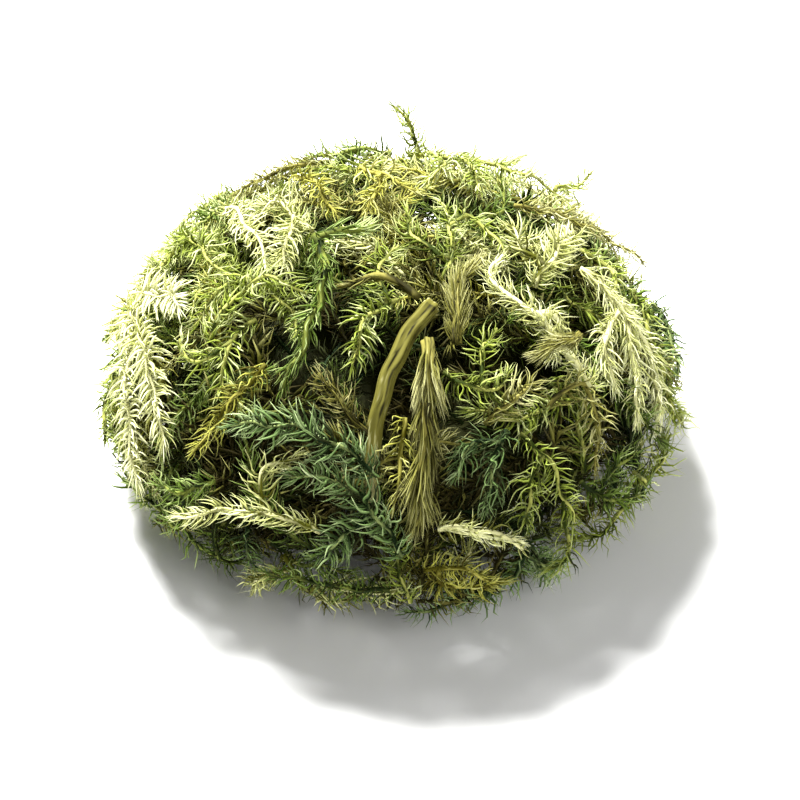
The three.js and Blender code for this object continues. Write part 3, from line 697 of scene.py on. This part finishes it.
def smooth_line(line, spacing):
    """Points an even step apart on the smooth curve through a shoot's points."""
    padded = np.concatenate([2 * line[:1] - line[1:2], line, 2 * line[-1:] - line[-2:-1]])
    t = np.arange(CURVE_STEPS)[:, None] / CURVE_STEPS
    rows = []
    for a, b, c, d in zip(padded, padded[1:], padded[2:], padded[3:]):
        square = (2 * a - 5 * b + 4 * c - d) * t**2
        cube = (3 * b - a - 3 * c + d) * t**3
        rows.append(0.5 * (2 * b + (c - a) * t + square + cube))
    fine = np.concatenate([*rows, line[-1:]])
    reach = reach_along(fine)
    wanted = np.linspace(0, reach[-1], max(4, int(reach[-1] / spacing) + 1))
    return at_reach(fine, reach, wanted), wanted


# Node trees

def picked(sockets, key):
    """One of the sockets in use, by its number or its name."""
    shown = [socket for socket in sockets if socket.enabled]
    return shown[key] if isinstance(key, int) else next(socket for socket in shown if socket.name == key)


def node(tree, kind, inputs=(), out=0, **settings):
    """Adds a node with its settings and inputs, and returns one of its outputs."""
    made = tree.nodes.new(kind)
    for key, value in settings.items():
        setattr(made, key, value)
    named = inputs.items() if isinstance(inputs, dict) else enumerate(inputs)
    for key, value in named:
        socket = picked(made.inputs, key)
        if isinstance(value, bpy.types.NodeSocket):
            tree.links.new(value, socket)
        else:
            socket.default_value = value
    return picked(made.outputs, out)


class Builder:
    """Short names for the nodes that a tree uses most."""

    def __init__(self, tree):
        self.tree = tree

    def add(self, kind, inputs=(), out=0, **settings):
        return node(self.tree, kind, inputs, out, **settings)

    def math(self, operation, *values, clamp=False):
        return self.add("ShaderNodeMath", values, operation=operation, use_clamp=clamp)

    def plus(self, *values):
        total = values[0]
        for value in values[1:]:
            total = self.math("ADD", total, value)
        return total

    def times(self, first, second):
        return self.math("MULTIPLY", first, second)

    def vector(self, operation, *values):
        return self.add("ShaderNodeVectorMath", values, operation=operation)

    def scaled(self, vector, factor):
        return self.vector("SCALE", vector, factor)

    def number(self, name):
        return self.add("GeometryNodeInputNamedAttribute", [name], data_type="FLOAT")

    def arrow(self, name):
        return self.add("GeometryNodeInputNamedAttribute", [name], data_type="FLOAT_VECTOR")

    def store(self, geometry, name, value, kind="FLOAT", domain="POINT"):
        inputs = {"Geometry": geometry, "Name": name, "Value": value}
        return self.add("GeometryNodeStoreNamedAttribute", inputs, data_type=kind, domain=domain)

    def random(self, low, high, seed, step):
        inputs = {"Min": low, "Max": high, "Seed": self.math("ADD", seed, step)}
        return self.add("FunctionNodeRandomValue", inputs, data_type="FLOAT")

    def noise(self, vector, scale, detail):
        inputs = {"Vector": vector, "Scale": scale, "Detail": detail}
        return self.add("ShaderNodeTexNoise", inputs, noise_dimensions="3D")

    def place(self):
        return self.add("GeometryNodeInputPosition")

    def parts(self, vector):
        return [self.add("ShaderNodeSeparateXYZ", [vector], out=axis) for axis in range(3)]

    def combine(self, x, y, z):
        return self.add("ShaderNodeCombineXYZ", [x, y, z])


MAP_MARGIN = 0.02
MAP_STEP = 0.015  # between a face's corners, so that no face is without width on the map
MAP_WIDTH = 0.92
LEAF_ROWS = 0.76  # of the map's height
STEM_HEIGHT = 0.12
STEM_ROWS = 0.84  # where the stems' rows begin
KINKS = 7.5  # of a dried leaf along its length, in radians
RIBS = 5  # round a stem
LEAF_CLEARANCE = 0.0002  # over the floor
FLOOR_CLEARANCE = 0.00002
SHORTEST_LEAF = 0.001


def leaf_blade(b, given):
    """A closed three-sided blade, one unit long, widest a third of the way up."""
    cone = b.add("GeometryNodeMeshCone", {
        "Vertices": 3, "Side Segments": given["Leaf steps"], "Fill Segments": 1,
        "Radius Top": 0.0, "Radius Bottom": 1.0, "Depth": 1.0,
    }, fill_type="NGON")
    x, y, z = b.parts(b.place())
    belly = b.math("MULTIPLY_ADD", z, 2.04, 0.8)
    thick = b.times(b.times(x, belly), given["Leaf thickness"])
    wide = b.times(b.times(y, belly), given["Leaf width"])
    shaped = b.combine(thick, wide, z)
    leaf = b.store(cone, "leaf_u", z)
    leaf = b.store(leaf, "corner", b.math("MODULO", b.add("GeometryNodeInputIndex"), 3.0))
    leaf = b.add("GeometryNodeSetPosition", {"Geometry": leaf, "Position": shaped})
    return b.add("GeometryNodeSetShadeSmooth", {"Geometry": leaf, "Shade Smooth": True})


def leaves_on(b, given, curve):
    """A leaf at each step along the shoots, turned a golden angle from the last and bent to the tip."""
    seed = given["Seed"]
    spaced = {"Curve": curve, "Length": given["Leaf spacing"]}
    points = b.add("GeometryNodeCurveToPoints", spaced, mode="LENGTH")
    index = b.add("GeometryNodeInputIndex")
    turn = b.math("MULTIPLY_ADD", index, GOLDEN_ANGLE, b.random(-0.4, 0.4, seed, 0))
    ahead = b.vector("NORMALIZE", b.arrow("forward"))
    seen = b.arrow("seen_side")
    seen = b.vector("SUBTRACT", seen, b.scaled(ahead, b.vector("DOT_PRODUCT", seen, ahead)))
    seen = b.vector("NORMALIZE", seen)
    across = b.vector("CROSS_PRODUCT", ahead, seen)
    toward_seen = b.scaled(seen, b.times(b.math("COSINE", turn), b.number("flat")))
    radial = b.vector("ADD", toward_seen, b.scaled(across, b.math("SINE", turn)))
    radial = b.vector("NORMALIZE", radial)
    drift = b.math("SUBTRACT", b.noise(b.place(), 420.0, 2.0), 0.5)
    loosely = b.math("MULTIPLY", b.number("spread"), 1.1, clamp=True)
    strayed = b.math("MULTIPLY_ADD", drift, 0.9, b.random(-0.2, 0.2, seed, 1))
    opened = b.math("MULTIPLY_ADD", loosely, strayed, b.number("spread"))
    length = b.times(b.number("leaf_length"), b.random(0.75, 1.12, seed, 2))
    outward_part = b.scaled(radial, b.math("SINE", opened))
    axis = b.vector("ADD", outward_part, b.scaled(ahead, b.math("COSINE", opened)))

    # A leaf that would go through the floor is turned up
    low = b.parts(b.place())[2]
    fall = b.math("DIVIDE", b.math("SUBTRACT", LEAF_CLEARANCE, low), b.math("MAXIMUM", length, 0.0005))
    ax, ay, az = b.parts(axis)
    axis = b.vector("NORMALIZE", b.combine(ax, ay, b.math("MAXIMUM", az, fall)))

    aside = b.vector("CROSS_PRODUCT", axis, ahead)
    rolled = b.vector("ADD", ahead, b.scaled(aside, b.random(-1.1, 1.1, seed, 3)))
    rotation = b.add("FunctionNodeAxesToRotation", [axis, rolled], primary_axis="Z", secondary_axis="X")
    hook = b.times(b.number("hook"), b.random(0.5, 1.4, seed, 4))
    onward = b.vector("SUBTRACT", ahead, b.scaled(axis, 0.5))
    sideways = b.scaled(aside, b.times(b.number("wild"), b.random(-1.0, 1.0, seed, 5)))
    bend = b.scaled(b.vector("ADD", b.scaled(onward, hook), sideways), length)
    bow_size = b.times(b.number("wild"), length)
    kink_aside = b.scaled(aside, b.random(-0.14, 0.14, seed, 10))
    kink = b.vector("ADD", kink_aside, b.scaled(ahead, b.random(-0.14, 0.14, seed, 11)))
    bow_aside = b.scaled(aside, b.random(-1.2, 1.2, seed, 6))
    bow = b.vector("ADD", bow_aside, b.scaled(radial, b.random(-0.8, 0.8, seed, 7)))
    shade = b.plus(0.5, b.random(-0.3, 0.3, seed, 8), b.number("tint"))
    shade = b.math("MULTIPLY_ADD", drift, 0.9, shade, clamp=True)
    points = b.store(points, "bend", bend, "FLOAT_VECTOR")
    points = b.store(points, "bow", b.scaled(bow, bow_size), "FLOAT_VECTOR")
    points = b.store(points, "kink", b.scaled(kink, bow_size), "FLOAT_VECTOR")
    points = b.store(points, "shade", shade)
    root = b.scaled(radial, b.times(b.number("stem_radius"), 0.7))
    points = b.add("GeometryNodeSetPosition", {"Geometry": points, "Offset": root})
    kept = b.math("LESS_THAN", b.random(0.0, 1.0, seed, 9), b.number("keep"))
    kept = b.times(kept, b.math("GREATER_THAN", b.number("leaf_length"), SHORTEST_LEAF))
    leaves = b.add("GeometryNodeInstanceOnPoints", {
        "Points": points, "Selection": kept, "Instance": leaf_blade(b, given),
        "Rotation": rotation, "Scale": b.combine(length, length, length),
    })
    leaves = b.add("GeometryNodeRealizeInstances", [leaves])
    u = b.number("leaf_u")
    curled = b.scaled(b.arrow("bend"), b.times(u, u))
    bowed = b.scaled(b.arrow("bow"), b.times(u, b.math("SUBTRACT", 1.0, u)))
    kinked = b.scaled(b.arrow("kink"), b.math("SINE", b.times(u, KINKS)))
    offset = b.vector("ADD", b.vector("ADD", curled, bowed), kinked)
    leaves = b.add("GeometryNodeSetPosition", {"Geometry": leaves, "Offset": offset})
    step = b.times(b.number("corner"), MAP_STEP)
    map_x = b.plus(b.times(u, MAP_WIDTH), step, MAP_MARGIN)
    map_y = b.plus(b.times(b.number("shade"), LEAF_ROWS), step, MAP_MARGIN / 2)
    return b.store(leaves, "OFBake", b.combine(map_x, map_y, 0.0), "FLOAT2", "CORNER")


def stem_tube(b, given, curve):
    """The stem, ribbed if it is thick, with streaks along it."""
    stem = b.store(curve, "along_stem", b.add("GeometryNodeSplineParameter", out="Length"))
    round_stem = {"Resolution": given["Stem sides"], "Radius": 1.0}
    ring = b.add("GeometryNodeCurvePrimitiveCircle", round_stem, mode="RADIUS")
    share = b.add("GeometryNodeSplineParameter")
    ribs = b.times(b.math("COSINE", b.times(share, RIBS * 2 * math.pi)), given["Stem ribs"])
    ring = b.store(ring, "ring_share", share)
    ring = b.add("GeometryNodeSetPosition", {"Geometry": ring, "Offset": b.scaled(b.place(), ribs)})
    ring = b.store(ring, "ring_place", b.place(), "FLOAT_VECTOR")
    tube = b.add("GeometryNodeCurveToMesh", {
        "Curve": stem, "Profile Curve": ring, "Scale": b.number("stem_radius"), "Fill Caps": True,
    })
    length = b.combine(0.0, 0.0, b.times(b.number("along_stem"), 160.0))
    streak_at = b.vector("ADD", b.scaled(b.arrow("ring_place"), 3.2), length)
    streak = b.math("MULTIPLY_ADD", b.noise(streak_at, 1.5, 3.0), 1.9, -0.5)
    shade = b.plus(streak, b.times(b.number("tint"), 0.7), b.times(b.number("stem_pale"), 0.45))
    shade = b.math("ADD", shade, 0.0, clamp=True)
    tube = b.store(tube, "shade", shade)
    tube = b.store(tube, "is_stem", 1.0)
    map_x = b.plus(b.times(shade, MAP_WIDTH), b.times(b.number("ring_share"), MAP_STEP), MAP_MARGIN)
    map_y = b.plus(b.times(b.number("ring_share"), STEM_HEIGHT), STEM_ROWS)
    tube = b.store(tube, "OFBake", b.combine(map_x, map_y, 0.0), "FLOAT2", "CORNER")
    return b.add("GeometryNodeSetShadeSmooth", {"Geometry": tube, "Shade Smooth": True})


def shoots_tree():
    """Grows leafy shoots from a mesh of lines."""
    tree = bpy.data.node_groups.new("Leafy shoots", "GeometryNodeTree")
    face = tree.interface
    face.new_socket("Lines", in_out="INPUT", socket_type="NodeSocketGeometry")
    sizes = {
        "Leaf spacing": ("NodeSocketFloat", 0.00016),
        "Leaf width": ("NodeSocketFloat", 0.054),
        "Leaf thickness": ("NodeSocketFloat", 0.04),
        "Leaf steps": ("NodeSocketInt", 6),
        "Stem sides": ("NodeSocketInt", 5),
        "Stem ribs": ("NodeSocketFloat", 0),
        "Seed": ("NodeSocketInt", 3),
    }
    for name, (kind, value) in sizes.items():
        face.new_socket(name, in_out="INPUT", socket_type=kind).default_value = value
    face.new_socket("Material", in_out="INPUT", socket_type="NodeSocketMaterial")
    face.new_socket("Shoots", in_out="OUTPUT", socket_type="NodeSocketGeometry")
    b = Builder(tree)
    given = tree.nodes.new("NodeGroupInput").outputs
    curve = b.add("GeometryNodeMeshToCurve", [given["Lines"]])
    join = tree.nodes.new("GeometryNodeJoinGeometry")
    tree.links.new(stem_tube(b, given, curve), join.inputs[0])
    tree.links.new(leaves_on(b, given, curve), join.inputs[0])
    x, y, z = b.parts(b.place())
    above = b.combine(x, y, b.math("MAXIMUM", z, FLOOR_CLEARANCE))
    shoots = b.add("GeometryNodeSetPosition", {"Geometry": join.outputs[0], "Position": above})
    shoots = b.add("GeometryNodeSetMaterial", {"Geometry": shoots, "Material": given["Material"]})
    tree.links.new(shoots, tree.nodes.new("NodeGroupOutput").inputs[0])
    return tree


# Materials

def linear(code):
    """A colour code as the numbers that a shader works in."""
    parts = [int(code[i : i + 2], 16) / 255 for i in (0, 2, 4)]
    return (*[c / 12.92 if c <= 0.04045 else ((c + 0.055) / 1.055) ** 2.4 for c in parts], 1.0)


# Each tone as the colours of its darkest, usual and palest leaves, and of its stem. The darkest is also the
# colour that painted shade takes leaves toward, deep in the heap and at their roots.
TONES = {
    "bleached": ("4e500a", "c6ca7c", "f0f1c0", "dedca0"),
    "fresh": ("283402", "8b9a38", "e0e6a6", "adb05a"),
    "deep": ("182402", "5f7628", "bac884", "7a8438"),
    "teal": ("132408", "6a8448", "c2ce9a", "8a985a"),
    "golden": ("4e4a06", "b0b04c", "e4e29a", "aea850"),
    "olive": ("262404", "7e7c36", "c9c78c", "88823e"),
    "straw": ("1e1c06", "6e6a2c", "b6b27c", "6e6a2c"),
}
BROWN = "3a3010"


def leaf_colour_group():
    """Colour of a leaf from its paleness and the place along it, or of a stem from its streaks."""
    tree = bpy.data.node_groups.new("Dried leaf colour", "ShaderNodeTree")
    face = tree.interface
    for name in ("Dark", "Usual", "Pale", "Stem", "Brown"):
        face.new_socket(name, in_out="INPUT", socket_type="NodeSocketColor")
    face.new_socket("Color", in_out="OUTPUT", socket_type="NodeSocketColor")
    b = Builder(tree)
    given = tree.nodes.new("NodeGroupInput").outputs

    def reading(name):
        return b.add("ShaderNodeAttribute", attribute_name=name, attribute_type="GEOMETRY", out="Fac")

    def mixed(factor, first, second):
        made = tree.nodes.new("ShaderNodeMix")
        made.data_type = "RGBA"
        colour_sockets = [made.inputs[0], made.inputs[6], made.inputs[7]]
        for socket, value in zip(colour_sockets, [factor, first, second]):
            tree.links.new(value, socket)
        return made.outputs[2]

    def share(value, low, high):
        return b.add("ShaderNodeMapRange", [value, low, high, 0.0, 1.0], interpolation_type="SMOOTHSTEP")

    shade, u = reading("shade"), reading("leaf_u")
    colour = mixed(share(shade, 0.02, 0.5), given["Dark"], given["Usual"])
    colour = mixed(share(shade, 0.5, 1.0), colour, given["Pale"])
    # Paler to the tip, darker at the root as painted shade where a leaf meets its stem, and brown where it
    # is darkest
    colour = mixed(b.times(b.times(share(u, 0.4, 1.0), shade), 0.75), colour, given["Pale"])
    colour = mixed(b.times(share(u, 0.35, 0.0), 0.5), colour, given["Dark"])
    colour = mixed(b.times(share(shade, 0.14, 0.04), 0.3), colour, given["Brown"])
    stem = mixed(share(shade, 0.2, 0.55), given["Dark"], given["Stem"])
    stem = mixed(share(shade, 0.65, 1.0), stem, given["Pale"])
    colour = mixed(reading("is_stem"), colour, stem)
    tree.links.new(colour, tree.nodes.new("NodeGroupOutput").inputs[0])
    return tree


COLOUR_GROUP = leaf_colour_group()


LEAF_ROUGHNESS = 0.7
LEAF_SPECULAR = 0.1


def leaf_material(tone):
    material = bpy.data.materials.new(f"{tone}_leaves")
    material.use_nodes = True
    tree = material.node_tree
    shader = tree.nodes["Principled BSDF"]
    group = tree.nodes.new("ShaderNodeGroup")
    group.node_tree = COLOUR_GROUP
    for socket, code in zip(group.inputs, [*TONES[tone], BROWN]):
        socket.default_value = linear(code)
    tree.links.new(group.outputs["Color"], shader.inputs["Base Color"])
    shader.inputs["Roughness"].default_value = LEAF_ROUGHNESS
    shader.inputs["Specular IOR Level"].default_value = LEAF_SPECULAR
    return material


MATERIALS = {tone: leaf_material(tone) for tone in TONES}
SHOOTS = shoots_tree()
KEPT_ATTRIBUTES = {"position", "shade", "leaf_u", "is_stem", "OFBake", "material_index", "sharp_face"}


def grown(name, members, sizes):
    """The finished mesh of some shoots, grown by the tree from their lines."""
    piece = bpy.data.objects.new(name, line_mesh(name + "_lines", members))
    bpy.context.scene.collection.objects.link(piece)
    modifier = piece.modifiers.new("Shoots", "NODES")
    modifier.node_group = SHOOTS
    identifiers = {socket.name: socket.identifier for socket in SHOOTS.interface.items_tree}
    for key, value in {**sizes, "Material": MATERIALS[members[0]["tone"]]}.items():
        modifier[identifiers[key]] = value
    graph = bpy.context.evaluated_depsgraph_get()
    evaluated = piece.evaluated_get(graph)
    mesh = bpy.data.meshes.new_from_object(evaluated, preserve_all_data_layers=True, depsgraph=graph)
    piece.modifiers.clear()
    piece.data = mesh
    mesh.name = name
    for extra in [a.name for a in mesh.attributes if a.name not in KEPT_ATTRIBUTES and not a.is_internal]:
        mesh.attributes.remove(mesh.attributes[extra])
    return piece


# The heart of the heap, which the inner shoots grow out of

HEART_GAP = 1  # inside the roots of the solid heart's leaves
HEART_LUMP = 0.03
# The heart's paleness, near the darkest: painted shade for the dark inside of the heap.
HEART_PAINTED_SHADE = 0.04


def add_heart(piece):
    """Joins a lumpy core to the inner shoots, coloured near the darkest as painted shade for the heap's dark
    inside.
    """
    lumps = bmesh.new()
    bmesh.ops.create_icosphere(lumps, subdivisions=4, radius=1)
    for vert in lumps.verts:
        x, y, z = vert.co
        swell = HEART_LUMP * math.sin(9 * x + 2) * math.sin(8 * y)
        lump = 1 + swell + HEART_LUMP * math.sin(11 * z + 7 * x)
        place = HEART_CENTRE + (HEART_RADII - HEART_LEAF - HEART_GAP) * lump * np.array([x, y, z])
        vert.co = place * MM
    mesh = bpy.data.meshes.new("heart")
    lumps.to_mesh(mesh)
    lumps.free()
    shades = [HEART_PAINTED_SHADE] * len(mesh.vertices)
    mesh.attributes.new("shade", "FLOAT", "POINT").data.foreach_set("value", shades)
    on_map = [MAP_MARGIN + MAP_STEP * np.array([k % 3 > 0, k % 3 > 1]) for k in range(len(mesh.loops))]
    mesh.uv_layers.new(name="OFBake").data.foreach_set("uv", np.array(on_map, dtype=np.float32).ravel())
    mesh.materials.append(MATERIALS["deep"])
    heart = bpy.data.objects.new("heart", mesh)
    bpy.context.scene.collection.objects.link(heart)
    with bpy.context.temp_override(active_object=piece, selected_editable_objects=[piece, heart]):
        bpy.ops.object.join()


# The pieces

BACK_STEPS = 3
LOOSE_STEPS = 3
DEEP_STEPS = 2
STRAW_SIZES = {"Stem sides": 30, "Stem ribs": 0.14}
LOOSE_SIZES = {"Leaf steps": LOOSE_STEPS, "Stem sides": 4}
LOOSE_INNER_SIZES = {"Leaf width": 0.075, "Leaf thickness": 0.05}
SEED_STEP = 10  # between pieces

pieces = []
for name in dict.fromkeys(strand["node"] for strand in strands):
    members = [strand for strand in strands if strand["node"] == name]
    sizes = {"Seed": SEED_STEP * len(pieces)}
    if name.startswith(("side", "foot", "rest", "inner")):
        sizes["Leaf steps"] = BACK_STEPS
    if name in PRESSED:
        sizes.update(PRESSED_SIZES)
    if name in COATED:
        members += [{**strand, "habit": COAT} for strand in members]
    if name == "cut_stem_straw":
        sizes.update(STRAW_SIZES)
    piece = grown(f"{name}_leafy", members, sizes)
    if name == "inner_tangle":
        add_heart(piece)
    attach(piece, "root")
    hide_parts(name)
    pieces.append(piece)
for name in dict.fromkeys(strand["node"] for strand in loose):
    members = [strand for strand in loose if strand["node"] == name]
    sizes = {"Seed": SEED_STEP * len(pieces), **LOOSE_SIZES}
    if name.startswith(("loose_inner", "loose_lower")):
        sizes["Leaf steps"] = DEEP_STEPS
    if name.startswith("loose_inner"):
        sizes.update(LOOSE_INNER_SIZES)
    piece = grown(name, members, sizes)
    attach(piece, "root")
    pieces.append(piece)

# The studio

FLOOR_SIZE = 6
FLOOR_COLOUR = (0.86, 0.86, 0.85, 1)
LIGHT_AIM = Vector((0, 0, 0.02))
# Each lamp is (name, place, width, watts)
LAMPS = [("key", (-0.22, 0.42, 0.7), 0.25, 30), ("fill", (0.4, -0.5, 0.6), 0.5, 3)]
WORLD_STRENGTH = 0.27


def stage_floor():
    bpy.ops.mesh.primitive_plane_add(size=FLOOR_SIZE, location=(0, 0, 0))
    floor = bpy.context.object
    floor.name = "floor"
    material = bpy.data.materials.new("floor")
    material.use_nodes = True
    shader = material.node_tree.nodes["Principled BSDF"]
    shader.inputs["Base Color"].default_value = FLOOR_COLOUR
    shader.inputs["Roughness"].default_value = 0.8
    floor.data.materials.append(material)


def area_light(name, place, size, power):
    data = bpy.data.lights.new(name, "AREA")
    data.shape = "DISK"
    data.size = size
    data.energy = power
    lamp = bpy.data.objects.new(name, data)
    lamp.location = place
    lamp.rotation_euler = (LIGHT_AIM - Vector(place)).to_track_quat("-Z", "Y").to_euler()
    bpy.context.scene.collection.objects.link(lamp)


stage_floor()
for lamp in LAMPS:
    area_light(*lamp)

world = bpy.data.worlds.new("studio")
bpy.context.scene.world = world
world.use_nodes = True
background = world.node_tree.nodes["Background"]
background.inputs["Color"].default_value = (1, 1, 1, 1)
background.inputs["Strength"].default_value = WORLD_STRENGTH

# The camera, where the photograph's was

CAMERA_ELEVATION = math.radians(42)
CAMERA_DISTANCE = 0.42
AIM_HEIGHT = 0.022
AIM_PIXEL = (391, 347)
PHOTO_SIZE = 800
LENS_PIXELS = 2558

camera_data = bpy.data.cameras.new("camera")
camera_data.lens = camera_data.sensor_width * LENS_PIXELS / PHOTO_SIZE
camera_data.shift_x = (PHOTO_SIZE / 2 - AIM_PIXEL[0]) / PHOTO_SIZE
camera_data.shift_y = (AIM_PIXEL[1] - PHOTO_SIZE / 2) / PHOTO_SIZE
camera = bpy.data.objects.new("camera", camera_data)
camera.location = (
    0,
    -CAMERA_DISTANCE * math.cos(CAMERA_ELEVATION),
    AIM_HEIGHT + CAMERA_DISTANCE * math.sin(CAMERA_ELEVATION),
)
camera.rotation_euler = (math.pi / 2 - CAMERA_ELEVATION, 0, 0)
bpy.context.scene.collection.objects.link(camera)
bpy.context.scene.camera = camera
bpy.context.scene.view_settings.view_transform = "Standard"
